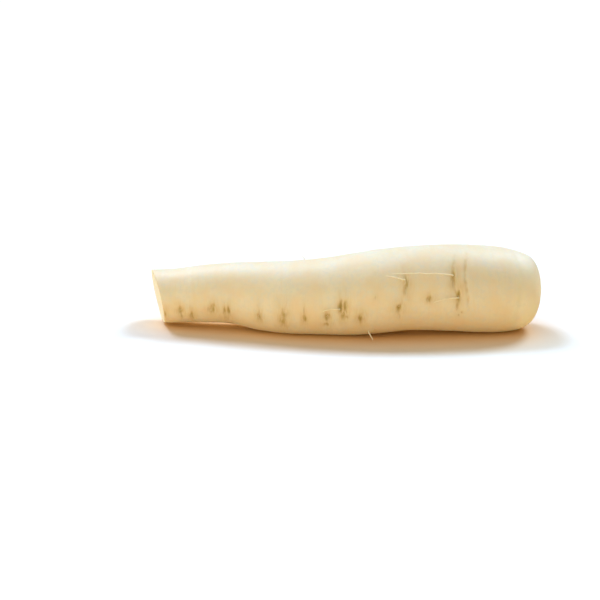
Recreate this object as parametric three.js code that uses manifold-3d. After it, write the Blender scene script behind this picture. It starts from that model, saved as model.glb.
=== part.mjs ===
// A daikon radish lying on its side: one stout white taproot, with its leaves trimmed off at
// the crown and its thin tail cut away, and the fine side roots that still hang on its skin.
//
// Millimetres, +Z up. +X runs along the root from the cut tail to the crown. The origin is on
// the surface that the root rests on, under the middle of the whole part.

import * as THREE from "three";
import { mergeVertices } from "three/addons/utils/BufferGeometryUtils.js";
import Module from "manifold-3d";

// ---- Driving dimensions ---------------------------------------------------------------

// The root, as stations from the tail to the shoulder: [x, radius, side, height]. side and
// height place the middle of the section in Y and Z. The stations reach past the tail cut.
const STATIONS = [
  [-156, 18.8, 19.0, 20.8],
  [-127, 19.6, 15.0, 21.6],
  [-104, 20.8, 10.0, 24.5],
  [-82, 21.9, 6.0, 26.3],
  [-61, 24.6, 1.5, 25.4],
  [-39, 26.4, -2.5, 25.5],
  [-15, 27.7, -5.0, 27.0],
  [6, 29.3, -6.0, 28.7],
  [26, 30.1, -6.0, 31.1],
  [49, 30.2, -5.0, 33.1],
  [76, 31.2, -2.0, 32.6],
  [99, 31.6, 1.0, 30.9],
  [115, 30.6, 2.5, 29.8],
  [127, 28.0, 3.5, 28.9],
  [134.5, 24.2, 4.0, 29.2],
  [138.4, 19.4, 4.0, 29.6],
  [140.5, 14.6, 4.0, 29.8],
];

const CROWN_DISC_RADIUS = 12.4; // the flat scar where the leaves were trimmed off
const CROWN_END = 141.1; // x of that scar
const TAIL_CUT_CENTRE = [-135.4, 16, 21.4]; // a knife cut straight through the tail
const TAIL_CUT_NORMAL = [-0.96, -0.23, -0.163];

const RINGS_PER_STATION = 3; // sections of the mesh between two stations
const SEGMENTS = 48; // corners of each section

// Side roots, thin threads that run from a scar along the skin to a loose end. Each point is
// [x, turn, gap]: turn is the angle round the midline in degrees, 0 straight up and positive
// towards -Y, and gap is the space between the thread and the skin.
const ROOTLETS = {
  rootlet_long: [[75, 59, 0.4], [67, 57.5, 0.7], [57, 56.5, 1], [45.5, 55.5, 1], [33, 53.5, 0.6]],
  rootlet_side: [[79, 87.5, 0.4], [74.6, 87.6, 0.8], [69.5, 89, 1.2], [62, 92.2, 1.8]],
  rootlet_upper: [[41.3, 63, 0.4], [38.2, 61, 0.8], [34.6, 59, 1], [28.5, 55.5, 0.8]],
  rootlet_arched: [[-4, 94, 0.4], [-9.7, 92.8, 1.2], [-15.1, 95.8, 0.6]],
  rootlet_low: [[17.5, 140, 0.4], [18.8, 141, 3.1], [20.1, 138, 7.2]],
  rootlet_top: [[-28.3, -10, 0.4], [-29.4, -12, 1.8], [-31, -13, 3.4]],
  rootlet_back_long: [[60, -90, 0.4], [49, -86, 0.8], [39, -84, 0.9], [30, -80, 0.7]],
  rootlet_back_short: [[-20, -76, 0.4], [-25, -80, 1.0], [-31, -79, 1.2]],
  rootlet_back_tail: [[-78, -68, 0.4], [-84, -72, 0.9], [-90, -70, 1.0]],
};
const THREAD_RADIUS = 0.4;
const THREAD_SIDES = 8;
const THREAD_STEPS_PER_POINT = 4;

const CUTTING_BLOCK_SIZE = 400; // larger than the root is long
const SAME_POINT_DISTANCE = 1e-4; // corners this near to each other are one corner
const PLACE_HALVINGS = 30; // halvings of the midline when a place along it is looked up

// ---- Materials ------------------------------------------------------------------------

const skin = new THREE.MeshStandardMaterial({ color: 0xefe3c8, roughness: 0.45 });
const thread = new THREE.MeshStandardMaterial({ color: 0xe3cfa2, roughness: 0.6 });

// ---- Helpers --------------------------------------------------------------------------

const wasm = await Module();
wasm.setup();

// A closed three.js geometry as a solid that can be cut.
function solidOf(geometry) {
  const bare = geometry.clone();
  bare.deleteAttribute("normal");
  bare.deleteAttribute("uv");
  const merged = mergeVertices(bare, SAME_POINT_DISTANCE);
  return new wasm.Manifold(
    new wasm.Mesh({
      numProp: 3,
      vertProperties: new Float32Array(merged.attributes.position.array),
      triVerts: new Uint32Array(merged.index.array),
    }),
  );
}

// A cut solid as a three.js geometry.
function geometryOf(solid) {
  const mesh = solid.getMesh();
  const geometry = new THREE.BufferGeometry();
  geometry.setAttribute("position", new THREE.BufferAttribute(mesh.vertProperties, 3));
  geometry.setIndex(new THREE.BufferAttribute(mesh.triVerts, 1));
  geometry.computeVertexNormals();
  return geometry;
}

// A block with one face through a point, reaching from there along a direction.
function blockBeyond(point, direction) {
  const size = CUTTING_BLOCK_SIZE;
  const block = new THREE.BoxGeometry(size, size, size);
  block.translate(0, 0, size / 2);
  const turn = new THREE.Quaternion().setFromUnitVectors(
    new THREE.Vector3(0, 0, 1),
    direction.clone().normalize(),
  );
  block.applyQuaternion(turn);
  block.translate(point.x, point.y, point.z);
  return block;
}

// ---- The root -------------------------------------------------------------------------

const girth = new THREE.CatmullRomCurve3(
  STATIONS.map(([x, radius]) => new THREE.Vector3(x, radius, 0)),
  false,
  "catmullrom",
);
const midline = new THREE.CatmullRomCurve3(
  STATIONS.map(([x, , side, height]) => new THREE.Vector3(x, side, height)),
  false,
  "catmullrom",
);

// A turned body whose sections are then moved sideways onto the root's gently bent midline.
function bentRoot() {
  const steps = (STATIONS.length - 1) * RINGS_PER_STATION;
  const outline = girth.getPoints(steps).map((p) => new THREE.Vector2(p.y, p.x));
  const places = midline.getPoints(steps);
  outline.unshift(new THREE.Vector2(0, outline[0].y));
  places.unshift(places[0]);
  outline.push(new THREE.Vector2(CROWN_DISC_RADIUS, CROWN_END), new THREE.Vector2(0, CROWN_END));
  places.push(places.at(-1), places.at(-1));

  const body = new THREE.LatheGeometry(outline, SEGMENTS);
  body.rotateZ(-Math.PI / 2);
  const position = body.attributes.position;
  for (let i = 0; i < position.count; i += 1) {
    const place = places[i % outline.length];
    position.setY(i, position.getY(i) + place.y);
    position.setZ(i, position.getZ(i) + place.z);
  }
  return body;
}

function makeRoot() {
  const tailWaste = blockBeyond(
    new THREE.Vector3(...TAIL_CUT_CENTRE),
    new THREE.Vector3(...TAIL_CUT_NORMAL),
  );
  const surface = blockBeyond(new THREE.Vector3(0, 0, 0), new THREE.Vector3(0, 0, -1));
  const root = solidOf(bentRoot()).subtract(solidOf(tailWaste)).subtract(solidOf(surface));
  const mesh = new THREE.Mesh(geometryOf(root), skin);
  mesh.name = "taproot";
  return mesh;
}

// ---- The side roots -------------------------------------------------------------------

// A point beside the root: x along it, turned round the midline, its distance from the skin.
function besideRoot(x, turn, distance) {
  let low = 0;
  let high = 1;
  for (let halving = 0; halving < PLACE_HALVINGS; halving += 1) {
    const middle = (low + high) / 2;
    if (girth.getPoint(middle).x < x) {
      low = middle;
    } else {
      high = middle;
    }
  }
  const reach = girth.getPoint(low).y + distance;
  const angle = THREE.MathUtils.degToRad(turn);
  return midline
    .getPoint(low)
    .add(new THREE.Vector3(0, -reach * Math.sin(angle), reach * Math.cos(angle)));
}

function makeRootlet(name, route) {
  const points = route.map(([x, turn, gap]) => besideRoot(x, turn, gap + THREAD_RADIUS));
  const corners = Array.from({ length: THREAD_SIDES }, (_, i) => {
    const angle = (2 * Math.PI * i) / THREAD_SIDES;
    return new THREE.Vector2(THREAD_RADIUS * Math.cos(angle), THREAD_RADIUS * Math.sin(angle));
  });
  const body = new THREE.ExtrudeGeometry(new THREE.Shape(corners), {
    extrudePath: new THREE.CatmullRomCurve3(points),
    steps: (points.length - 1) * THREAD_STEPS_PER_POINT,
  });
  const mesh = new THREE.Mesh(body, thread.clone());
  mesh.name = name;
  return mesh;
}

// ---- The whole daikon -----------------------------------------------------------------

const daikon = new THREE.Group();
daikon.add(makeRoot());
for (const [name, route] of Object.entries(ROOTLETS)) {
  daikon.add(makeRootlet(name, route));
}

export default daikon;
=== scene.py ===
"""Daikon radish: a trimmed white root with its fine side roots, lying on a plain pale floor.

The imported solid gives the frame. Each operator makes one piece, or one group of like pieces, in metres and
in that frame.
"""

import math
import random

import bmesh
import bpy
import numpy as np
from mathutils import Matrix, Vector, noise


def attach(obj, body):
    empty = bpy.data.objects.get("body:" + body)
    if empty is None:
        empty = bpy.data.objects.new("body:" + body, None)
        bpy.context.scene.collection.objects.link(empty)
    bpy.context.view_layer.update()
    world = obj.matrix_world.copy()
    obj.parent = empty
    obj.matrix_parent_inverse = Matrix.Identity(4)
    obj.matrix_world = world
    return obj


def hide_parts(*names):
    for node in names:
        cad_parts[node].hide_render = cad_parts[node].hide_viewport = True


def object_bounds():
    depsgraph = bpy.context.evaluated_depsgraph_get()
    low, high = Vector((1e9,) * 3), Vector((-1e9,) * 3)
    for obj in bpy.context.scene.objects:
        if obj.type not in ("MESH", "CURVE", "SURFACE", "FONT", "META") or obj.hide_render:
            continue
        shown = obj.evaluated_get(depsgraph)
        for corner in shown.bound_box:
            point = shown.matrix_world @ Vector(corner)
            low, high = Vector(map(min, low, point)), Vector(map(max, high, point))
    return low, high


bl_info = {
    "name": "Daikon Radish",
    "version": (1, 0, 0),
    "blender": (4, 5, 0),
    "location": "3D View > Sidebar > Daikon",
    "description": "Makes a trimmed daikon radish with its side roots, and a pale floor to show it on",
    "category": "Add Mesh",
}

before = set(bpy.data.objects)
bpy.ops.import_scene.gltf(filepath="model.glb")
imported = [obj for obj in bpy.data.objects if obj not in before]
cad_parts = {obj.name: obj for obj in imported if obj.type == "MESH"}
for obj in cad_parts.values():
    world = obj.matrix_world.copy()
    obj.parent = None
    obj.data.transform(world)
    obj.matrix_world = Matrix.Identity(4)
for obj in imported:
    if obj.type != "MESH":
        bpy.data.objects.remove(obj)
solid_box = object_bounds()

MM = 0.001

# ---- The root's own shape, in millimetres, as the solid holds it --------------------------------------

# Stations from the tail to the shoulder: place along the root, radius, and side and height of its middle.
STATIONS = (
    (-156, 18.8, 19.0, 20.8),
    (-127, 19.6, 15.0, 21.6),
    (-104, 20.8, 10.0, 24.5),
    (-82, 21.9, 6.0, 26.3),
    (-61, 24.6, 1.5, 25.4),
    (-39, 26.4, -2.5, 25.5),
    (-15, 27.7, -5.0, 27.0),
    (6, 29.3, -6.0, 28.7),
    (26, 30.1, -6.0, 31.1),
    (49, 30.2, -5.0, 33.1),
    (76, 31.2, -2.0, 32.6),
    (99, 31.6, 1.0, 30.9),
    (115, 30.6, 2.5, 29.8),
    (127, 28.0, 3.5, 28.9),
    (134.5, 24.2, 4.0, 29.2),
    (138.4, 19.4, 4.0, 29.6),
    (140.5, 14.6, 4.0, 29.8),
)
CROWN_DISC_RADIUS = 12.4  # the flat scar where the leaves were trimmed off
CROWN_END = 141.1  # how far along that scar is
CROWN_DISC_RINGS = 12  # rings of the mesh between its edge and its middle
CROWN_SCAR_REACH = CROWN_DISC_RADIUS + 0.8  # the relief of that scar runs a little over its edge
STALK_RINGS = ((10.2, 7), (7.2, 5), (4.4, 3))  # rings of stalk scars on it: distance from its middle, count
CROWN_PAINTED_LIGHT = (112, 141)  # painted light: the skin is painted lighter and creamier from one of these places to the other, for the brighter lit crown end
TAIL_CUT_CENTRE = Vector((-135.4, 16, 21.4))
TAIL_CUT_NORMAL = Vector((-0.96, -0.23, -0.163)).normalized()
TAIL_START = -148  # the mesh starts just past the tail cut
FLAT_HEIGHT = 0.02  # the flats that the root rests on stand this far off the floor
SPLINE_STEPS = 24  # points of the smooth outline between two stations
SAME_POINT_DISTANCE = 1e-4  # corners this near to each other are one corner

# Rings of the cut face, as shares of its width: the inner edge of the skin, close rings where the flesh
# shows a ring of its own, and wider ones from there to the middle.
CUT_SKIN_THICKNESS = 0.35
CUT_RADIUS = 19
CUT_RINGS = (1 - CUT_SKIN_THICKNESS / CUT_RADIUS, 0.955, 0.93, 0.9, 0.87, 0.84, *np.linspace(0.8, 0.06, 18))
CUT_HOLLOW = 0.35  # how far the middle of the cut face has sunk

# Thickness of each side root, as a share of a stout one's, and of those that have no share of their own.
SIDE_ROOT_THICKNESS = {"long": 0.9, "top": 0.65, "arched": 1.1, "upper": 1.2, "side": 1.2, "low": 1.1}
OTHER_SIDE_ROOT_THICKNESS = 0.8

# Side roots: each point is a place along the root, the turn round it (0 straight up, + towards -Y) and the
# gap to its skin.
SIDE_ROOTS = {
    "long": ((75, 59, 0.4), (67, 57.5, 0.7), (57, 56.5, 1.0), (45.5, 55.5, 1.0), (33, 53.5, 0.6)),
    "side": ((79, 87.5, 0.4), (74.6, 87.6, 0.8), (69.5, 89, 1.2), (62, 92.2, 1.8)),
    "upper": ((41.3, 63, 0.4), (38.2, 61, 0.8), (34.6, 59, 1.0), (28.5, 55.5, 0.8)),
    "arched": ((-4, 94, 0.4), (-9.7, 92.8, 1.2), (-15.1, 95.8, 0.6)),
    "low": ((17.5, 140, 0.4), (18.8, 141, 3.1), (20.1, 138, 7.2)),
    "top": ((-28.3, -10, 0.4), (-29.4, -12, 1.8), (-31, -13, 3.4)),
    "back_long": ((60, -90, 0.4), (49, -86, 0.8), (39, -84, 0.9), (30, -80, 0.7)),
    "back_short": ((-20, -76, 0.4), (-25, -80, 1.0), (-31, -79, 1.2)),
    "back_tail": ((-78, -68, 0.4), (-84, -72, 0.9), (-90, -70, 1.0)),
}
SIDE_ROOT_STEPS = 7  # points of a side root between two of these
SIDE_ROOT_SET_BACK = 0.3  # a side root starts this far before its first point along the root
SIDE_ROOT_SUNK = 0.6  # and this deep in the skin
SIDE_ROOT_WAVER = 0.4 * MM  # how far a side root strays from its route
SIDE_ROOT_TIP = 0.4  # thickness of its tip, as a share of its start's

# Root hairs, which grow round the deeper scars and in a tuft beside the low side root. A pair of numbers
# is the least and the most.
HAIR_SEED = 5
HAIR_POINTS = 7
HAIR_TIP = 0.5  # thickness of its tip, as a share of its start's
HAIR_WAVER = 0.3 * MM
HAIR_CLEARANCE = 0.4 * MM  # no hair comes nearer to the floor
HAIRY_SCAR_DEPTH = 0.3  # a shallower scar has no hairs
SCAR_HAIR_COUNTS = (0, 1, 2)
SCAR_HAIR_LENGTH = (0.8, 2.2)
SCAR_HAIR_THICKNESS = (0.14, 0.24)
TUFT_HAIR_COUNT = 9
TUFT_PLACE = (17, 23)
TUFT_TURN = (131, 141)
TUFT_HAIR_LENGTH = (2.0, 4.0)
TUFT_HAIR_THICKNESS = (0.2, 0.34)

# Scars of side roots on the near side: place along, turn, half width along, half height round, depth and
# darkness.
SCARS = (
    (-128.1, 116.6, 0.7, 2.4, 0.2, 0.5),
    (-116.9, 107, 1.3, 2.0, 0.5, 0.65),
    (-116.4, 123, 0.8, 2.6, 0.25, 0.35),
    (-109, 123, 1.1, 3.0, 0.4, 0.6),
    (-93.3, 106.5, 1.3, 2.2, 0.5, 0.7),
    (-96.3, 108, 1.6, 1.8, 0.15, 0.25),
    (-85.1, 109, 0.7, 2.2, 0.35, 0.6),
    (-82.1, 110.5, 0.8, 2.4, 0.4, 0.7),
    (-83.6, 126, 2.2, 3.6, 0.1, 0.35),
    (-60, 111.5, 1.1, 2.2, 0.55, 0.8),
    (-60.3, 101, 0.6, 2.8, 0.2, 0.35),
    (-42.9, 109, 1.6, 4.8, 0.35, 0.6),
    (-27.9, 108.5, 0.9, 1.9, 0.4, 0.65),
    (-28.3, 97, 0.45, 2.8, 0.15, 0.35),
    (-11.8, 106.5, 1.3, 2.0, 0.5, 0.8),
    (-12.5, 120.5, 1.6, 1.3, 0.25, 0.5),
    (-2.7, 92.3, 1.1, 3.3, 0.7, 1.0),
    (0.5, 91.2, 1.0, 2.9, 0.6, 0.9),
    (-0.9, 104, 0.9, 2.4, 0.35, 0.65),
    (1.4, 107, 0.6, 0.9, 0.2, 0.6),
    (11.1, 110.5, 1.4, 2.4, 0.6, 0.85),
    (21.2, 82.5, 0.7, 1.2, 0.1, 0.3),
    (38, 100.5, 1.4, 2.3, 0.6, 0.85),
    (38.3, 112, 0.7, 2.0, 0.1, 0.3),
    (42.7, 70.5, 1.4, 3.6, 0.4, 0.55),
    (41.8, 60, 1.6, 1.6, 0.25, 0.4),
    (58.7, 90, 1.3, 1.3, 0.4, 0.8),
    (75.9, 63.5, 1.1, 3.6, 0.45, 0.65),
    (79.5, 85.5, 1.0, 2.9, 0.5, 0.8),
    (79, 98, 0.7, 2.4, 0.15, 0.35),
    (78.6, 104.5, 0.5, 0.6, 0.05, 0.35),
    (82, 108, 0.5, 0.6, 0.05, 0.35),
    (80.2, 112.5, 0.5, 0.7, 0.05, 0.35),
)
SCAR_PIT = (1.3, 1.4)  # size of a scar's pit along and round, as shares of its half width and half height
SCAR_DIMPLE = (3.6, 2.2)  # size of the shallow dimple that the pit lies in
SCAR_STAIN = (2.9, 2.6)  # size of the stained skin
SCAR_REACH = (14, 18)  # nothing of a scar reaches further than this along and round
FAR_SCARS_SEED = 11

# Creases across the root near the crown: the places along and round that each passes through, its half
# width, its depth and its tint.
CREASES = (
    (((77.4, 28), (76.4, 46), (75.9, 60), (76.4, 70), (77.7, 80), (79, 88), (78.8, 102)), 0.8, 0.35, 0.9),
    (((86.1, 26), (84.6, 46), (84.3, 61), (84.9, 72), (85.6, 81), (86.4, 90), (86.9, 100)), 0.8, 0.4, 1.0),
    (((122, 10), (125.6, 52), (124, 74), (123.8, 96), (123, 122)), 2.0, 0.4, 0.12),
    (((104, -150), (103, -120), (105, -92), (104, -66)), 0.8, 0.3, 0.7),
    (((128, -160), (126, -110), (127, -60), (129, -20)), 2.4, 0.2, 0.0),
)
CREASE_FADE = 20  # a crease fades in and out over this turn
CREASE_STEPS = 8  # points of a crease between two of its places

# Warm patches of skin: place along, turn, half width along, half height round, strength.
BLUSHES = (
    (81, 75, 4.0, 7.0, 1.0),
    (47, 72, 3.0, 4.0, 0.6),
    (56, 82, 7.0, 5.0, 0.5),
    (-83, 122, 9.0, 6.0, 0.5),
    (-116, 120, 12.0, 7.0, 0.5),
    (-44, 112, 6.0, 9.0, 0.4),
)

# ---- The stage's own places, in metres ----------------------------------------------------------------

FLOOR_HALF_WIDTH = 12.0
PAINTED_SHADE_REACH = 0.036  # the floor takes the painted contact shade colour where something is nearer than this
PAINTED_SHADE_FALL = 1.4  # how fast that painted shade fades
LEFT_LAMP_FROM = (-0.5, 0.65, 1)
RIGHT_LAMP_FROM = (0.6, 0.65, 1)
FRONT_LEFT = (-0.7, -0.7, 0)  # where the stronger fill comes from
VIEW_MIDDLE = (-0.0311, -0.0088)  # the camera looks this far right of and above the middle of the root

# ---- Smooth outlines and routes -----------------------------------------------------------------------


def along_spline(points, steps):
    """Points on the smooth curve through these, with steps of them between each two."""
    held = np.array(points, float)
    held = np.vstack((2 * held[0] - held[1], held, 2 * held[-1] - held[-2]))
    t = np.linspace(0, 1, steps, endpoint=False)[:, None]
    found = []
    for before, start, end, after in zip(held, held[1:], held[2:], held[3:]):
        slope = t * (end - before)
        bend = t**2 * (2 * before - 5 * start + 4 * end - after)
        twist = t**3 * (3 * start - 3 * end + after - before)
        found.append(start + 0.5 * (slope + bend + twist))
    found.append(held[-2:-1])
    return np.vstack(found)


SECTIONS = along_spline(STATIONS, SPLINE_STEPS)


def root_outline(spacing):
    """Rings of the root from the tail to the middle of the crown, this far apart.

    Each is its place along, radius, side and height, and the way out of the skin, along and outwards.
    """
    smooth = SECTIONS[SECTIONS[:, 0] > TAIL_START]
    side, height = smooth[-1, 2:]
    disc = [(CROWN_END, r, side, height) for r in np.linspace(CROWN_DISC_RADIUS, 0, CROWN_DISC_RINGS)]
    whole = np.vstack((smooth, disc))
    step = np.hypot(np.diff(whole[:, 0]), np.diff(whole[:, 1]))
    walked = np.concatenate(([0], np.cumsum(step)))
    places = np.linspace(0, walked[-1], int(walked[-1] / spacing) + 1)
    rings = np.stack([np.interp(places, walked, column) for column in whole.T], 1)
    run = np.gradient(rings[:, 0])
    rise = np.gradient(rings[:, 1])
    size = np.hypot(run, rise)
    return np.column_stack((rings, -rise / size, run / size))


def beside_root(x, turn, gap):
    """A point beside the root, in metres: place along, turn round the middle, gap from the skin."""
    radius, side, height = (np.interp(x, SECTIONS[:, 0], SECTIONS[:, i]) for i in (1, 2, 3))
    angle = math.radians(turn)
    reach = radius + gap
    return Vector((x, side - reach * math.sin(angle), height + reach * math.cos(angle))) * MM


# ---- Relief and marks, worked out for arrays of places on the skin ------------------------------------


def turned(turn, centre):
    """The signed turn from a centre, in degrees, the short way round."""
    return (turn - centre + 180) % 360 - 180


def hill(offset, half_width=1, power=2):
    """1 in the middle, falling smoothly to nearly 0 well past the half width."""
    return np.exp(-(np.abs(offset / half_width) ** power))


def far_scars():
    """The far row of root scars, opposite the near one, that a radish of this kind always has."""
    chance = random.Random(FAR_SCARS_SEED)
    far = []
    for x, turn, width, height, depth, dark in SCARS:
        place = x + chance.uniform(-5, 7)
        far_turn = turn - 180 + chance.uniform(-9, 9)
        size = chance.uniform(0.75, 1.15)
        far.append((place, far_turn, width * size, height * size, depth * size, dark * size))
    return tuple(far)


ALL_SCARS = SCARS + far_scars()


def scar_fields(x, turn, radius):
    """Depth of the scars' pits, and masks of their dark cores and of the stained skin round them."""
    pit = np.zeros_like(x)
    core = np.zeros_like(x)
    stain = np.zeros_like(x)
    for place, centre, width, height, depth, dark in ALL_SCARS:
        u = x - place
        v = np.radians(turned(turn, centre)) * radius
        near = (np.abs(u) < SCAR_REACH[0]) & (np.abs(v) < SCAR_REACH[1])
        u, v = u[near], v[near]
        rough = np.column_stack((u + place, v + centre, np.zeros_like(u)))
        u = u / width + 0.7 * noise_at(rough, (0.3, 0.22, 1), 4)
        v = v / height + 0.7 * noise_at(rough, (0.35, 0.22, 1), 5)
        in_pit, in_dimple, in_stain = (np.hypot(u / a, v / b) for a, b in (SCAR_PIT, SCAR_DIMPLE, SCAR_STAIN))
        lip = hill(in_pit - 1.6) ** 3
        pit[near] += depth * (hill(in_pit, power=2.2) - 0.2 * lip + 0.25 * hill(in_dimple))
        core[near] = np.maximum(core[near], dark * hill(in_pit, power=2.4))
        stain[near] = np.maximum(stain[near], min(1, 1.5 * dark) * hill(in_stain, power=1.6))
    return pit, core, stain


def crease_fields(x, turn):
    """Depth of the creases across the root, and a mask that darkens the skin along them."""
    pit = np.zeros_like(x)
    mask = np.zeros_like(x)
    for path, width, depth, tint in CREASES:
        route = along_spline(path, CREASE_STEPS)
        route = route[np.argsort(route[:, 1])]
        start, end = route[0, 1], route[-1, 1]
        begun = np.clip((turn - start) / CREASE_FADE + 0.5, 0, 1)
        not_ended = np.clip((end - turn) / CREASE_FADE + 0.5, 0, 1)
        line = hill(x - np.interp(turn, route[:, 1], route[:, 0]), width)
        pit += depth * begun * not_ended * line
        mask = np.maximum(mask, tint * begun * not_ended * line**0.6)
    return pit, mask


def blush_field(x, turn, radius):
    """Mask of the warm patches of skin."""
    mask = np.zeros_like(x)
    for place, centre, width, height, strength in BLUSHES:
        u = x - place
        v = np.radians(turned(turn, centre)) * radius
        mask += strength * hill(u, width) * hill(v, height)
    return np.clip(mask, 0, 1)


def noise_at(points, scale, seed):
    """Smooth noise from about -1 to 1, with a scale for each direction and a seed for each use."""
    shift = Vector((seed * 7.3, seed * 3.1, seed * 5.7))
    sx, sy, sz = scale
    return np.array([noise.noise(Vector((p[0] * sx, p[1] * sy, p[2] * sz)) + shift) for p in points])


def crown_fields(radius, angle):
    """Relief of the leaf scar on the crown, and a mask of its dead skin.

    Overlapping crescents, where the stalks were cut, stand round a small hollow.
    """
    across = np.column_stack((radius * np.cos(angle), radius * np.sin(angle), np.zeros_like(radius)))
    border = CROWN_DISC_RADIUS - 0.9 + 1.6 * noise_at(across, (0.22, 0.22, 1), 6)
    leaf = np.clip((border - radius) / 1.6, 0, 1)
    radius = radius + 1.1 * noise_at(across, (0.16, 0.16, 1), 7)
    turn = angle / (2 * math.pi) + 0.05 * noise_at(across, (0.2, 0.2, 1), 8)
    relief = 0.25 * noise_at(across, (0.5, 0.5, 1), 9)
    for ring, (middle, count) in enumerate(STALK_RINGS):
        phase = (turn * count + ring * 0.37) % 1 - 0.5
        bow = middle + 1.1 * (1 - (phase * 2) ** 2)
        relief += 0.34 * hill(radius - bow, 0.55) * (1 - np.abs(phase * 2) ** 6)
        relief -= 0.2 * hill(np.abs(phase) - 0.5, 0.06) * hill(radius - middle, 1.6)
    relief -= 0.9 * hill(radius, 1.8)
    return relief * np.clip((CROWN_SCAR_REACH - radius) / 1.5, 0, 1), leaf


def skin_fields(x, radius, angle, settings):
    """Height of the whole root's relief, and the masks that its skin's material reads."""
    turn = np.degrees(angle)
    skin = np.column_stack((x, -radius * np.sin(angle), radius * np.cos(angle)))
    pit, core, stain = scar_fields(x, turn, radius)
    dent, crease = crease_fields(x, turn)
    relief = settings.swell / MM * noise_at(skin, (1 / 42, 1 / 24, 1 / 24), 1)
    relief += 0.3 * settings.swell / MM * noise_at(skin, (1 / 13, 1 / 9, 1 / 9), 2)
    relief += settings.wrinkle / MM * noise_at(skin, (1 / 1.7, 1 / 16, 1 / 16), 3)
    body = np.clip((CROWN_END - 0.3 - x) / 6, 0, 1)
    relief = body * (relief - pit - dent)

    on_disc = (x > CROWN_END - 0.7) & (radius < CROWN_SCAR_REACH)
    leaf = np.zeros_like(x)
    relief[on_disc], leaf[on_disc] = crown_fields(radius[on_disc], angle[on_disc])
    painted_light_start, painted_light_end = CROWN_PAINTED_LIGHT
    marks = {
        "scar": core,
        "stain": stain,
        "crease": crease,
        "blush": blush_field(x, turn, radius),
        # painted light: lighter skin towards the crown end
        "crown": np.clip((x - painted_light_start) / (painted_light_end - painted_light_start), 0, 1),
        "leaf": leaf,
        # the leaf scar is darker where its relief sinks
        "seam": leaf * np.clip(0.5 - relief / 0.5, 0, 1),
    }
    return relief, marks


# ---- Sizes and colours that a user may change ---------------------------------------------------------


class DaikonRootSettings(bpy.types.PropertyGroup):
    """Sizes and colours of the root and of its side roots"""

    ring_spacing: bpy.props.FloatProperty(
        name="Ring Spacing",
        description="Distance between the rings of the root's mesh",
        default=0.9 * MM,
        min=0.4 * MM,
        unit="LENGTH",
    )
    segments: bpy.props.IntProperty(
        name="Segments",
        description="Corners of each ring of the root's mesh",
        default=236,
        min=32,
    )
    swell: bpy.props.FloatProperty(
        name="Swell",
        description="Height of the broad unevenness of the root",
        default=0.35 * MM,
        unit="LENGTH",
    )
    wrinkle: bpy.props.FloatProperty(
        name="Wrinkle",
        description="Height of the fine wrinkles across the skin",
        default=0.05 * MM,
        unit="LENGTH",
    )
    thread_thickness: bpy.props.FloatProperty(
        name="Side Root Thickness",
        description="Thickness of a stout side root where it leaves the skin",
        default=1.0 * MM,
        unit="LENGTH",
    )
    skin_colour: bpy.props.FloatVectorProperty(
        name="Skin",
        description="Colour of clean skin",
        subtype="COLOR",
        size=3,
        default=(0.90, 0.82, 0.65),
        min=0,
        max=1,
    )
    stain_colour: bpy.props.FloatVectorProperty(
        name="Stained Skin",
        description="Colour of the skin round a root scar",
        subtype="COLOR",
        size=3,
        default=(0.68, 0.49, 0.20),
        min=0,
        max=1,
    )
    scar_colour: bpy.props.FloatVectorProperty(
        name="Root Scar",
        description="Colour of the dead tissue in a root scar",
        subtype="COLOR",
        size=3,
        default=(0.42, 0.29, 0.08),
        min=0,
        max=1,
    )
    leaf_scar_colour: bpy.props.FloatVectorProperty(
        name="Leaf Scar",
        description="Colour of the scar where the leaves were trimmed off",
        subtype="COLOR",
        size=3,
        default=(0.82, 0.76, 0.52),
        min=0,
        max=1,
    )
    flesh_colour: bpy.props.FloatVectorProperty(
        name="Flesh",
        description="Colour of the cut flesh",
        subtype="COLOR",
        size=3,
        default=(0.97, 0.97, 0.90),
        min=0,
        max=1,
    )
    thread_colour: bpy.props.FloatVectorProperty(
        name="Side Root",
        description="Colour of the side roots",
        subtype="COLOR",
        size=3,
        default=(1.0, 0.93, 0.74),
        min=0,
        max=1,
    )


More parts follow.
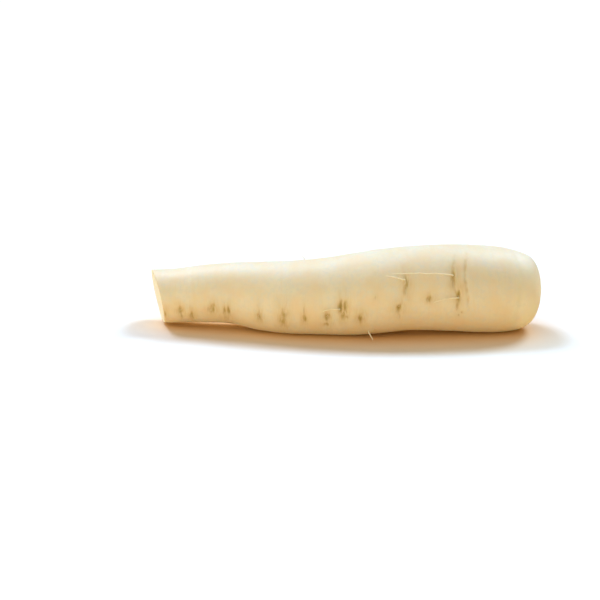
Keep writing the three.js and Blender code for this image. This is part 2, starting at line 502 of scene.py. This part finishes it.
class DaikonStageSettings(bpy.types.PropertyGroup):
    """Colours, lamps and view of the stage"""

    floor_colour: bpy.props.FloatVectorProperty(
        name="Floor",
        description="Colour of the floor",
        subtype="COLOR",
        size=3,
        default=(0.97, 0.97, 0.97),
        min=0,
        max=1,
    )
    # Painted shade: the warm, darker colour that the floor shows close under the root, standing in for its
    # contact shadow.
    painted_contact_shade_colour: bpy.props.FloatVectorProperty(
        name="Contact",
        description="Colour of the floor close under the root, lit only through and off the root",
        subtype="COLOR",
        size=3,
        default=(0.84, 0.50, 0.20),
        min=0,
        max=1,
    )
    bounce_colour: bpy.props.FloatVectorProperty(
        name="Bounce",
        description="Colour that the floor throws back on the root",
        subtype="COLOR",
        size=3,
        default=(1.0, 0.70, 0.36),
        min=0,
        max=1,
    )
    left_lamp_colour: bpy.props.FloatVectorProperty(
        name="Left Lamp",
        description="Colour of the lamp at the left and behind",
        subtype="COLOR",
        size=3,
        default=(0.652, 0.771, 1.0),
        min=0,
        max=1,
    )
    left_lamp_strength: bpy.props.FloatProperty(
        name="Left Lamp Strength",
        description="Strength of the lamp at the left and behind",
        default=2.09,
    )
    right_lamp_colour: bpy.props.FloatVectorProperty(
        name="Right Lamp",
        description="Colour of the lamp at the right and behind",
        subtype="COLOR",
        size=3,
        default=(0.667, 0.837, 1.0),
        min=0,
        max=1,
    )
    right_lamp_strength: bpy.props.FloatProperty(
        name="Right Lamp Strength",
        description="Strength of the lamp at the right and behind",
        default=2.12,
    )
    lamp_softness: bpy.props.FloatProperty(
        name="Lamp Softness",
        description="How wide each lamp looks from the floor",
        default=math.radians(22),
        subtype="ANGLE",
    )
    fill_colour: bpy.props.FloatVectorProperty(
        name="Fill Light",
        description="Colour of the soft light from all round",
        subtype="COLOR",
        size=3,
        default=(0.208, 0.16, 0.108),
        min=0,
        max=1,
    )
    front_fill_colour: bpy.props.FloatVectorProperty(
        name="Front Fill Light",
        description="Colour of the soft light from the front left",
        subtype="COLOR",
        size=3,
        default=(1.01, 1.057, 0.917),
        min=0,
        max=2,
    )
    camera_height: bpy.props.FloatProperty(
        name="Camera Height Angle",
        description="How steeply the camera looks down",
        default=math.radians(16),
        subtype="ANGLE",
    )
    camera_distance: bpy.props.FloatProperty(
        name="Camera Distance",
        description="Distance from the camera to the root",
        default=1.02,
        unit="LENGTH",
    )


# ---- Materials ----------------------------------------------------------------------------------------


class Tree:
    """A short way to place and join shader nodes."""

    def __init__(self, tree):
        self.tree = tree

    def node(self, kind, inputs=None, **settings):
        made = self.tree.nodes.new(kind)
        for key, value in settings.items():
            setattr(made, key, value)
        for key, value in (inputs or {}).items():
            self.feed(made.inputs[key], value)
        return made

    def place(self):
        return self.node("ShaderNodeTexCoord").outputs["Object"]

    def feed(self, socket, value):
        if isinstance(value, bpy.types.NodeSocket):
            self.tree.links.new(value, socket)
        else:
            socket.default_value = value

    def noise(self, vector, scale, detail=3.0, rough=0.5):
        inputs = {"Vector": vector, "Scale": scale, "Detail": detail, "Roughness": rough}
        return self.node("ShaderNodeTexNoise", inputs).outputs["Fac"]

    def range(self, value, low, high, to_low=0.0, to_high=1.0):
        inputs = {"Value": value, "From Min": low, "From Max": high, "To Min": to_low, "To Max": to_high}
        return self.node("ShaderNodeMapRange", inputs).outputs["Result"]

    def maths(self, operation, first, second=0.0):
        made = self.node("ShaderNodeMath", {0: first, 1: second}, operation=operation)
        return made.outputs[0]

    def mix(self, share, first, second, blend="MIX"):
        made = self.node("ShaderNodeMix", data_type="RGBA", blend_type=blend)
        self.feed(made.inputs["Factor"], share)
        self.feed(made.inputs[6], first)
        self.feed(made.inputs[7], second)
        return made.outputs[2]

    def mapped(self, vector, scale):
        return self.node("ShaderNodeMapping", {"Vector": vector, "Scale": scale}).outputs["Vector"]

    def vector_maths(self, operation, inputs, output="Vector"):
        return self.node("ShaderNodeVectorMath", inputs, operation=operation).outputs[output]

    def attribute(self, name):
        return self.node("ShaderNodeAttribute", attribute_name=name).outputs["Fac"]

    def grain(self, group, place, cell_scale, cloud_scale):
        inputs = {"Vector": place, "Cell Scale": cell_scale, "Cloud Scale": cloud_scale}
        made = self.node("ShaderNodeGroup", inputs, node_tree=group)
        return made.outputs["Cells"], made.outputs["Clouds"]


def rgba(colour, tint=(1, 1, 1)):
    """A colour with its alpha, made lighter or darker in each channel by a tint."""
    return (*(part * share for part, share in zip(colour, tint)), 1.0)


def new_group(name, inputs, outputs):
    """A shader node group with these sockets, and its nodes' helper."""
    group = bpy.data.node_groups.new(name, "ShaderNodeTree")
    for label, kind, default in inputs:
        socket = group.interface.new_socket(label, in_out="INPUT", socket_type=kind)
        if default is not None:
            socket.default_value = default
    for label, kind in outputs:
        group.interface.new_socket(label, in_out="OUTPUT", socket_type=kind)
    tree = Tree(group)
    return group, tree, tree.node("NodeGroupInput"), tree.node("NodeGroupOutput")


def plant_grain_group():
    """Fine cells and soft clouds that the skin, the flesh and the side roots share."""
    group, tree, given, out = new_group(
        "Plant Grain",
        (
            ("Vector", "NodeSocketVector", None),
            ("Cell Scale", "NodeSocketFloat", 700.0),
            ("Cloud Scale", "NodeSocketFloat", 60.0),
        ),
        (("Cells", "NodeSocketFloat"), ("Clouds", "NodeSocketFloat")),
    )
    cells = tree.noise(given.outputs["Vector"], given.outputs["Cell Scale"], 2.0, 0.6)
    clouds = tree.noise(given.outputs["Vector"], given.outputs["Cloud Scale"], 4.0, 0.55)
    tree.feed(out.inputs["Cells"], cells)
    tree.feed(out.inputs["Clouds"], tree.range(clouds, 0.3, 0.7))
    return group


def new_material(name):
    """A material, its nodes' helper and its shader."""
    material = bpy.data.materials.new(name)
    material.use_nodes = True
    return material, Tree(material.node_tree), material.node_tree.nodes["Principled BSDF"]


def set_subsurface(shader, weight, scale, radius):
    shader.inputs["Subsurface Weight"].default_value = weight
    shader.inputs["Subsurface Scale"].default_value = scale
    shader.inputs["Subsurface Radius"].default_value = radius


def add_bump(tree, shader, height, strength, distance):
    bump = tree.node("ShaderNodeBump", {"Height": height, "Strength": strength, "Distance": distance})
    tree.feed(shader.inputs["Normal"], bump.outputs["Normal"])


def skin_material(grain, colours):
    """Ivory skin: soft clouds, faint lines across, tan stains and dark tissue in the root scars."""
    material, tree, shader = new_material("daikon_skin")
    place = tree.place()
    cells, clouds = tree.grain(grain, place, 900.0, 70.0)
    lines = tree.noise(tree.mapped(place, (420.0, 45.0, 45.0)), 1.0, 3.0, 0.6)
    flecks = tree.noise(place, 330.0, 3.0, 0.6)

    clean = rgba(colours.skin_colour)
    warm = rgba(colours.skin_colour, (0.97, 0.92, 0.82))
    cool = rgba(colours.skin_colour, (0.92, 0.95, 1.0))
    colour = tree.mix(tree.maths("MULTIPLY", clouds, 0.8), clean, warm)
    colour = tree.mix(tree.range(flecks, 0.45, 0.65, 0.0, 0.85), colour, cool)
    colour = tree.mix(tree.range(lines, 0.5, 0.7, 0.0, 0.6), colour, warm)

    peach = rgba(colours.skin_colour, (1.0, 0.89, 0.74))
    pinkish = tree.range(tree.noise(place, 60.0, 3.0, 0.5), 0.46, 0.66, 0.0, 0.7)
    colour = tree.mix(tree.maths("MAXIMUM", pinkish, tree.attribute("blush")), colour, peach)
    # Painted light: the skin turns lighter and creamier towards the crown end, where more light falls.
    cream = rgba(colours.skin_colour, (1.08, 1.09, 1.06))
    colour = tree.mix(tree.range(tree.attribute("crown"), 0.1, 0.9, 0.0, 0.8), colour, cream)

    strokes = tree.noise(tree.mapped(place, (900.0, 170.0, 170.0)), 1.0, 3.0, 0.6)
    speckle = tree.range(strokes, 0.36, 0.62, 0.55, 1.2)
    stain = tree.maths("MULTIPLY", tree.attribute("stain"), speckle)
    colour = tree.mix(tree.maths("MULTIPLY", stain, 0.85), colour, rgba(colours.stain_colour))
    # darker skin along the creases
    patchy = tree.range(tree.noise(place, 190.0, 2.0, 0.5), 0.38, 0.62, 0.25, 1.0)
    crease = tree.maths("MULTIPLY", tree.attribute("crease"), patchy)
    colour = tree.mix(tree.maths("MULTIPLY", crease, 0.65), colour, rgba(colours.stain_colour))
    scar = tree.maths("MULTIPLY", tree.attribute("scar"), speckle)
    colour = tree.mix(tree.range(scar, 0.08, 1.0, 0.0, 0.9), colour, rgba(colours.scar_colour))

    leaf = tree.mix(tree.attribute("seam"), rgba(colours.leaf_scar_colour), rgba(colours.stain_colour))
    colour = tree.mix(tree.attribute("leaf"), colour, leaf)
    tree.feed(shader.inputs["Base Color"], colour)

    rough = tree.range(cells, 0.3, 0.7, 0.46, 0.58)
    tree.feed(shader.inputs["Roughness"], tree.maths("ADD", rough, tree.maths("MULTIPLY", scar, 0.3)))
    height = tree.maths("ADD", tree.maths("MULTIPLY", cells, 0.35), lines)
    add_bump(tree, shader, height, 0.4, 0.3 * MM)
    set_subsurface(shader, 0.4, 5 * MM, (1.0, 0.6, 0.3))
    return material


def cut_rays(tree, place):
    """Noise drawn out along the lines from the middle of the cut face, so that it shows as rays."""
    turn = TAIL_CUT_NORMAL.to_track_quat("Z", "Y").to_matrix().to_4x4()
    shift, turning, _ = (turn.inverted() @ Matrix.Translation(-TAIL_CUT_CENTRE * MM)).decompose()
    on_face = {"Vector": place, "Location": shift, "Rotation": turning.to_euler()}
    at = tree.node("ShaderNodeMapping", on_face).outputs["Vector"]
    split = tree.node("ShaderNodeSeparateXYZ", {"Vector": at}).outputs
    flat = tree.node("ShaderNodeCombineXYZ", {"X": split["X"], "Y": split["Y"]}).outputs["Vector"]
    reach = tree.vector_maths("LENGTH", {0: flat}, "Value")
    way = tree.vector_maths("SCALE", {0: tree.vector_maths("NORMALIZE", {0: flat}), "Scale": 22.0})
    lift = tree.node("ShaderNodeCombineXYZ", {"Z": tree.maths("MULTIPLY", reach, 120.0)}).outputs["Vector"]
    return tree.noise(tree.vector_maths("ADD", {0: way, 1: lift}), 1.0, 3.0, 0.6)


def flesh_material(grain, colours):
    """Cut flesh: white, with fine rays from the middle and a wetter ring under the skin."""
    material, tree, shader = new_material("daikon_cut_flesh")
    place = tree.place()
    rays = cut_rays(tree, place)
    cells, _ = tree.grain(grain, place, 1200.0, 160.0)

    wet = rgba(colours.flesh_colour, (0.9, 0.91, 0.88))
    pith = rgba(colours.flesh_colour, (1.03, 1.03, 1.04))
    colour = tree.mix(tree.range(rays, 0.40, 0.60, 0.0, 0.8), rgba(colours.flesh_colour), wet)
    colour = tree.mix(tree.maths("MULTIPLY", cells, 0.25), colour, pith)
    edge = tree.attribute("rim")
    ring = tree.maths("MULTIPLY", tree.range(edge, 0.80, 0.86), tree.range(edge, 0.86, 0.91, 1.0, 0.0))
    colour = tree.mix(tree.maths("MULTIPLY", ring, 0.7), colour, wet)
    colour = tree.mix(tree.range(edge, 0.965, 0.995, 0.0, 0.85), colour, rgba(colours.skin_colour))
    tree.feed(shader.inputs["Base Color"], colour)
    tree.feed(shader.inputs["Roughness"], tree.range(rays, 0.3, 0.7, 0.28, 0.42))
    height = tree.maths("ADD", rays, tree.maths("MULTIPLY", cells, 0.5))
    add_bump(tree, shader, height, 0.35, 0.3 * MM)
    set_subsurface(shader, 0.5, 4 * MM, (1.0, 0.8, 0.55))
    return material


def thread_material(grain, colours):
    """Side roots: dry cream threads with darker patches."""
    material, tree, shader = new_material("daikon_side_root")
    cells, clouds = tree.grain(grain, tree.place(), 1800.0, 300.0)
    dark = rgba(colours.thread_colour, (0.85, 0.75, 0.58))
    colour = tree.mix(tree.maths("MULTIPLY", clouds, 0.4), rgba(colours.thread_colour), dark)
    tree.feed(shader.inputs["Base Color"], colour)
    tree.feed(shader.inputs["Roughness"], tree.range(cells, 0.3, 0.7, 0.5, 0.68))
    set_subsurface(shader, 0.15, 1 * MM, (1.0, 0.2, 0.1))
    return material


def shared(name, make):
    """A material or node group by name, made the first time that it is asked for."""
    held = bpy.data.materials.get(name) or bpy.data.node_groups.get(name)
    return held or make()


def grain_group():
    return shared("Plant Grain", plant_grain_group)


def side_root_material(settings):
    return shared("daikon_side_root", lambda: thread_material(grain_group(), settings))


# ---- Meshes -------------------------------------------------------------------------------------------


def finish_piece(name, mesh, node_names, materials):
    """Puts a finished mesh in the scene as a piece that rides on the solid and stands for its nodes."""
    piece = bpy.data.objects.new(name, mesh)
    bpy.context.scene.collection.objects.link(piece)
    for material in materials:
        mesh.materials.append(material)
    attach(piece, "root")
    if node_names:
        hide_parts(*node_names)
    return piece


def spin_root(settings):
    """The root as a straight turned body, open at the tail, with each ring's number on its vertices."""
    rings = root_outline(settings.ring_spacing / MM)
    bm = bmesh.new()
    number = bm.verts.layers.float.new("ring")
    chain = [bm.verts.new((x, 0, r)) for x, r in rings[:, :2]]
    for i, vert in enumerate(chain):
        vert[number] = i
    edges = [bm.edges.new(pair) for pair in zip(chain, chain[1:])]
    bmesh.ops.spin(
        bm,
        geom=chain + edges,
        cent=(0, 0, 0),
        axis=(1, 0, 0),
        angle=2 * math.pi,
        steps=settings.segments,
        use_merge=True,
    )
    bmesh.ops.remove_doubles(bm, verts=bm.verts[:], dist=SAME_POINT_DISTANCE)
    edges = {edge for face in scarred_faces(bm) for edge in face.edges}
    bmesh.ops.subdivide_edges(bm, edges=list(edges), cuts=1, use_grid_fill=True)
    return bm, rings


def scarred_faces(bm):
    """The faces at the root scars, which need a finer mesh than the skin between them."""
    faces = bm.faces[:]
    middles = np.array([face.calc_center_median() for face in faces])
    turn = np.degrees(np.arctan2(-middles[:, 1], middles[:, 2]))
    radius = np.hypot(middles[:, 1], middles[:, 2])
    chosen = np.zeros(len(faces), bool)
    for place, centre, width, height, _, _ in ALL_SCARS:
        u = middles[:, 0] - place
        v = np.radians(turned(turn, centre)) * radius
        chosen |= (np.abs(u) < 1.6 * width + 0.6) & (np.abs(v) < 1.6 * height + 0.6)
    return [face for face, is_chosen in zip(faces, chosen) if is_chosen]


def shape_root(bm, rings, settings):
    """Gives the turned body its bend, its relief and marks, and the flats that it rests on."""
    number = bm.verts.layers.float["ring"]
    straight = np.array([v.co for v in bm.verts])
    ring = np.array([v[number] for v in bm.verts])
    at = np.arange(len(rings))
    x, radius, side, height, lean, out = (np.interp(ring, at, column) for column in rings.T)
    angle = np.arctan2(-straight[:, 1], straight[:, 2])
    relief, marks = skin_fields(x, radius, angle, settings)

    reach = radius + out * relief
    y = side - np.sin(angle) * reach
    z = height + np.cos(angle) * reach
    places = np.column_stack((x + lean * relief, y, np.maximum(z, FLAT_HEIGHT)))
    layers = {name: bm.verts.layers.float.new(name) for name in (*marks, "rim")}
    for i, vert in enumerate(bm.verts):
        vert.co = places[i]
        for name, values in marks.items():
            vert[layers[name]] = values[i]


def cut_tail(bm):
    """Cuts the tail off with one straight slice, and fills the cut with rings of faces round its middle."""
    found = bmesh.ops.bisect_plane(
        bm,
        geom=bm.verts[:] + bm.edges[:] + bm.faces[:],
        plane_co=TAIL_CUT_CENTRE,
        plane_no=TAIL_CUT_NORMAL,
        clear_outer=True,
    )
    border = [e for e in found["geom_cut"] if isinstance(e, bmesh.types.BMEdge)]
    face = bmesh.ops.edgeloop_fill(bm, edges=border, mat_nr=1)["faces"][0]
    if face.normal.dot(TAIL_CUT_NORMAL) < 0:
        face.normal_flip()
    rim = bm.verts.layers.float["rim"]
    centre = sum((v.co for v in face.verts), Vector()) / len(face.verts)
    for vert in face.verts:
        vert[rim] = 1.0
    now = 1.0
    for share in CUT_RINGS:
        bmesh.ops.inset_region(bm, faces=[face], thickness=0, use_even_offset=False)
        k = share / now
        bmesh.ops.scale(bm, vec=(k, k, k), space=Matrix.Translation(-centre), verts=face.verts[:])
        for vert in face.verts:
            vert[rim] = share
        now = share
    middle = bmesh.ops.poke(bm, faces=[face])["verts"][0]
    middle[rim] = 0.0
    middle.co -= TAIL_CUT_NORMAL * CUT_HOLLOW
    shape_cut_face(bm, centre)


def shape_cut_face(bm, centre):
    """Sinks the cut face towards its middle, and raises its rays and the ring under its skin."""
    rim = bm.verts.layers.float["rim"]
    for vert in bm.verts:
        share = vert[rim]
        if 0 < share < 1:
            off = vert.co - centre
            angle = math.atan2(off.z, off.y)
            rays = noise.noise(Vector((math.cos(angle) * 7, math.sin(angle) * 7, share * 2.5)))
            lift = 0.12 * rays * min(1, share * 2.5) * (share < 0.97)
            lift += 0.12 * hill(share - 0.885, 0.02) - CUT_HOLLOW * (1 - share**4)
            vert.co += TAIL_CUT_NORMAL * lift


class DAIKON_OT_make_taproot(bpy.types.Operator):
    """Makes the root: skin with its scars and creases, the cut tail and the trimmed crown"""

    bl_idname = "daikon.make_taproot"
    bl_label = "Make Root"
    bl_options = {"REGISTER", "UNDO"}

    def execute(self, context):
        settings = context.scene.daikon_root
        bm, rings = spin_root(settings)
        shape_root(bm, rings, settings)
        cut_tail(bm)
        bmesh.ops.recalc_face_normals(bm, faces=bm.faces[:])
        bmesh.ops.scale(bm, vec=(MM, MM, MM), verts=bm.verts[:])
        for face in bm.faces:
            face.smooth = True
        mesh = bpy.data.meshes.new("daikon_root")
        bm.to_mesh(mesh)
        bm.free()
        grain = grain_group()
        materials = (skin_material(grain, settings), flesh_material(grain, settings))
        finish_piece("daikon_root", mesh, ["taproot"], materials)
        return {"FINISHED"}


def thread_mesh(name, routes, tip_share):
    """Closed tapering threads, each along its own points and as thick as its own number at the start."""
    curve = bpy.data.curves.new(name, "CURVE")
    curve.dimensions = "3D"
    curve.bevel_depth = 1.0
    curve.bevel_resolution = 2
    curve.use_fill_caps = True
    for points, thickness in routes:
        spline = curve.splines.new("POLY")
        spline.points.add(len(points) - 1)
        for i, (point, place) in enumerate(zip(spline.points, points)):
            share = i / (len(points) - 1)
            point.co = (*place, 1)
            point.radius = thickness / 2 * (1 + (tip_share - 1) * share**1.5)
    holder = bpy.data.objects.new(name, curve)
    bpy.context.scene.collection.objects.link(holder)
    mesh = bpy.data.meshes.new_from_object(holder.evaluated_get(bpy.context.evaluated_depsgraph_get()))
    bpy.data.objects.remove(holder)
    bpy.data.curves.remove(curve)
    mesh.name = name
    for polygon in mesh.polygons:
        polygon.use_smooth = True
    return mesh


def wavering(points, amount, seed):
    """Points moved a little off their line, as a thread dries crooked. The first stays."""
    moved = []
    for i, point in enumerate(points):
        place = Vector((i * 0.31, seed * 1.7, 0.5))
        shift = Vector((noise.noise(place), noise.noise(place.yzx), noise.noise(place.zxy)))
        moved.append(Vector(point) + shift * amount * min(1, i / 4))
    return moved


class DAIKON_OT_grow_side_roots(bpy.types.Operator):
    """Grows the fine side roots, each a tapering thread along its solid"""

    bl_idname = "daikon.grow_side_roots"
    bl_label = "Grow Side Roots"
    bl_options = {"REGISTER", "UNDO"}

    def execute(self, context):
        settings = context.scene.daikon_root
        material = side_root_material(settings)
        for seed, (name, route) in enumerate(SIDE_ROOTS.items()):
            share = SIDE_ROOT_THICKNESS.get(name, OTHER_SIDE_ROOT_THICKNESS)
            thickness = share * settings.thread_thickness
            start, start_turn, _ = route[0]
            held = [beside_root(start + SIDE_ROOT_SET_BACK, start_turn, -SIDE_ROOT_SUNK)]
            held += [beside_root(x, turn, gap + thickness / 2 / MM) for x, turn, gap in route]
            points = wavering(along_spline(held, SIDE_ROOT_STEPS), SIDE_ROOT_WAVER, seed)
            mesh = thread_mesh(f"side_root_{name}", [(points, thickness)], SIDE_ROOT_TIP)
            finish_piece(f"side_root_{name}", mesh, [f"rootlet_{name}"], [material])
        return {"FINISHED"}


def root_hair(chance, x, turn, lengths, thicknesses):
    """The points and the thickness of a short crooked hair that leaves the skin at this place."""
    length = chance.uniform(*lengths)
    along = chance.uniform(-1, 0.5)
    way = chance.uniform(-1, 1)
    points = []
    for share in np.linspace(0, 1, HAIR_POINTS):
        reach = length * share
        lift = length * (0.75 * share - 0.3 * share**2) - 0.3 * (1 - share)
        place = beside_root(x + along * reach, turn + math.degrees(way * reach / 30), lift)
        place.z = max(place.z, HAIR_CLEARANCE)
        points.append(place)
    points = wavering(points, HAIR_WAVER, chance.random() * 50)
    return points, chance.uniform(*thicknesses) * MM


class DAIKON_OT_grow_root_hairs(bpy.types.Operator):
    """Grows the tiny dry hairs round the scars and beside the lowest side root"""

    bl_idname = "daikon.grow_root_hairs"
    bl_label = "Grow Root Hairs"
    bl_options = {"REGISTER", "UNDO"}

    def execute(self, context):
        settings = context.scene.daikon_root
        chance = random.Random(HAIR_SEED)
        hairs = []
        for x, turn, width, height, depth, _ in ALL_SCARS:
            if depth < HAIRY_SCAR_DEPTH:
                continue
            for _ in range(chance.choice(SCAR_HAIR_COUNTS)):
                start = (x + chance.uniform(-1, 1) * width, turn + chance.uniform(-2, 2) * height)
                hairs.append(root_hair(chance, *start, SCAR_HAIR_LENGTH, SCAR_HAIR_THICKNESS))
        for _ in range(TUFT_HAIR_COUNT):
            start = (chance.uniform(*TUFT_PLACE), chance.uniform(*TUFT_TURN))
            hairs.append(root_hair(chance, *start, TUFT_HAIR_LENGTH, TUFT_HAIR_THICKNESS))
        mesh = thread_mesh("root_hairs", hairs, HAIR_TIP)
        finish_piece("root_hairs", mesh, [], [side_root_material(settings)])
        return {"FINISHED"}


# ---- The stage ----------------------------------------------------------------------------------------


def make_floor(settings):
    """A wide pale floor, just under the root, with warm shade painted on it where the root is near."""
    bm = bmesh.new()
    bmesh.ops.create_grid(bm, x_segments=1, y_segments=1, size=FLOOR_HALF_WIDTH)
    mesh = bpy.data.meshes.new("floor")
    bm.to_mesh(mesh)
    bm.free()
    floor = bpy.data.objects.new("floor", mesh)
    bpy.context.scene.collection.objects.link(floor)
    material, tree, shader = new_material("pale_floor")
    seen = tree.node("ShaderNodeLightPath").outputs["Is Camera Ray"]
    # painted shade: the floor turns to the contact shade colour where the root is near
    clear = tree.node("ShaderNodeAmbientOcclusion", {"Distance": PAINTED_SHADE_REACH}, samples=12).outputs["AO"]
    clear = tree.maths("POWER", clear, PAINTED_SHADE_FALL)
    pale = tree.mix(clear, rgba(settings.painted_contact_shade_colour), rgba(settings.floor_colour))
    colour = tree.mix(seen, rgba(settings.bounce_colour), pale)
    tree.feed(shader.inputs["Base Color"], colour)
    shader.inputs["Roughness"].default_value = 0.9
    shader.inputs["Specular IOR Level"].default_value = 0.0
    mesh.materials.append(material)


def make_lamp(name, source, colour, strength, softness):
    """A broad lamp that shines from far off in this direction."""
    lamp = bpy.data.lights.new(name, "SUN")
    lamp.energy = strength
    lamp.angle = softness
    lamp.color = colour
    holder = bpy.data.objects.new(name, lamp)
    holder.rotation_euler = (-Vector(source)).to_track_quat("-Z", "Y").to_euler()
    bpy.context.scene.collection.objects.link(holder)


def make_lights(settings):
    """Two broad lamps above and behind, and a soft fill from all round, stronger from the front left."""
    for name, source in (("left_lamp", LEFT_LAMP_FROM), ("right_lamp", RIGHT_LAMP_FROM)):
        colour = getattr(settings, f"{name}_colour")
        strength = getattr(settings, f"{name}_strength")
        make_lamp(name, source, colour, strength, settings.lamp_softness)

    world = bpy.data.worlds.new("studio")
    world.use_nodes = True
    tree = Tree(world.node_tree)
    background = world.node_tree.nodes["Background"]
    way = tree.node("ShaderNodeTexCoord").outputs["Generated"]
    facing = tree.maths("MAXIMUM", tree.vector_maths("DOT_PRODUCT", {0: way, 1: FRONT_LEFT}, "Value"), 0.0)
    both = tuple(a + b for a, b in zip(settings.fill_colour, settings.front_fill_colour))
    colour = tree.mix(facing, rgba(settings.fill_colour), rgba(both))
    seen = tree.node("ShaderNodeLightPath").outputs["Is Camera Ray"]
    tree.feed(background.inputs["Color"], tree.mix(seen, colour, (1.0, 1.0, 1.0, 1.0)))
    bpy.context.scene.world = world


def make_camera(settings):
    """The camera, looking along +Y and down, with the root a little right of and above its view's middle."""
    low, high = solid_box
    middle = (low + high) / 2
    angle = settings.camera_height
    up = Vector((0, math.sin(angle), math.cos(angle)))
    back = Vector((0, -math.cos(angle), math.sin(angle)))
    lens = bpy.data.cameras.new("camera")
    lens.lens = 85
    lens.sensor_width = 36
    camera = bpy.data.objects.new("camera", lens)
    right_of, above = VIEW_MIDDLE
    target = middle + Vector((right_of, 0, 0)) + up * above
    camera.location = target + back * settings.camera_distance
    camera.rotation_euler = (-back).to_track_quat("-Z", "Y").to_euler()
    bpy.context.scene.collection.objects.link(camera)
    bpy.context.scene.camera = camera


class DAIKON_OT_set_stage(bpy.types.Operator):
    """Sets up the floor, the lights and the camera"""

    bl_idname = "daikon.set_stage"
    bl_label = "Set Stage"
    bl_options = {"REGISTER", "UNDO"}

    def execute(self, context):
        settings = context.scene.daikon_stage
        make_camera(settings)
        make_floor(settings)
        make_lights(settings)
        context.scene.view_settings.view_transform = "Standard"
        return {"FINISHED"}


# ---- The panel and the add-on -------------------------------------------------------------------------


class DAIKON_PT_sidebar(bpy.types.Panel):
    """Sizes, colours and the steps that make the daikon"""

    bl_idname = "DAIKON_PT_sidebar"
    bl_label = "Daikon Radish"
    bl_space_type = "VIEW_3D"
    bl_region_type = "UI"
    bl_category = "Daikon"

    def draw(self, context):
        layout = self.layout
        for title, settings in (("Root", context.scene.daikon_root), ("Stage", context.scene.daikon_stage)):
            box = layout.box()
            box.label(text=title)
            for name in settings.bl_rna.properties.keys():
                if name not in ("rna_type", "name"):
                    box.prop(settings, name)
        for operator in OPERATORS:
            layout.operator(operator.bl_idname)


OPERATORS = (
    DAIKON_OT_set_stage,
    DAIKON_OT_make_taproot,
    DAIKON_OT_grow_side_roots,
    DAIKON_OT_grow_root_hairs,
)
CLASSES = (DaikonRootSettings, DaikonStageSettings, *OPERATORS, DAIKON_PT_sidebar)


def register():
    for made in CLASSES:
        bpy.utils.register_class(made)
    bpy.types.Scene.daikon_root = bpy.props.PointerProperty(type=DaikonRootSettings)
    bpy.types.Scene.daikon_stage = bpy.props.PointerProperty(type=DaikonStageSettings)


def unregister():
    del bpy.types.Scene.daikon_stage
    del bpy.types.Scene.daikon_root
    for made in reversed(CLASSES):
        bpy.utils.unregister_class(made)


def main():
    register()
    bpy.ops.daikon.set_stage()
    bpy.ops.daikon.make_taproot()
    bpy.ops.daikon.grow_side_roots()
    bpy.ops.daikon.grow_root_hairs()


if __name__ == "__main__":
    main()
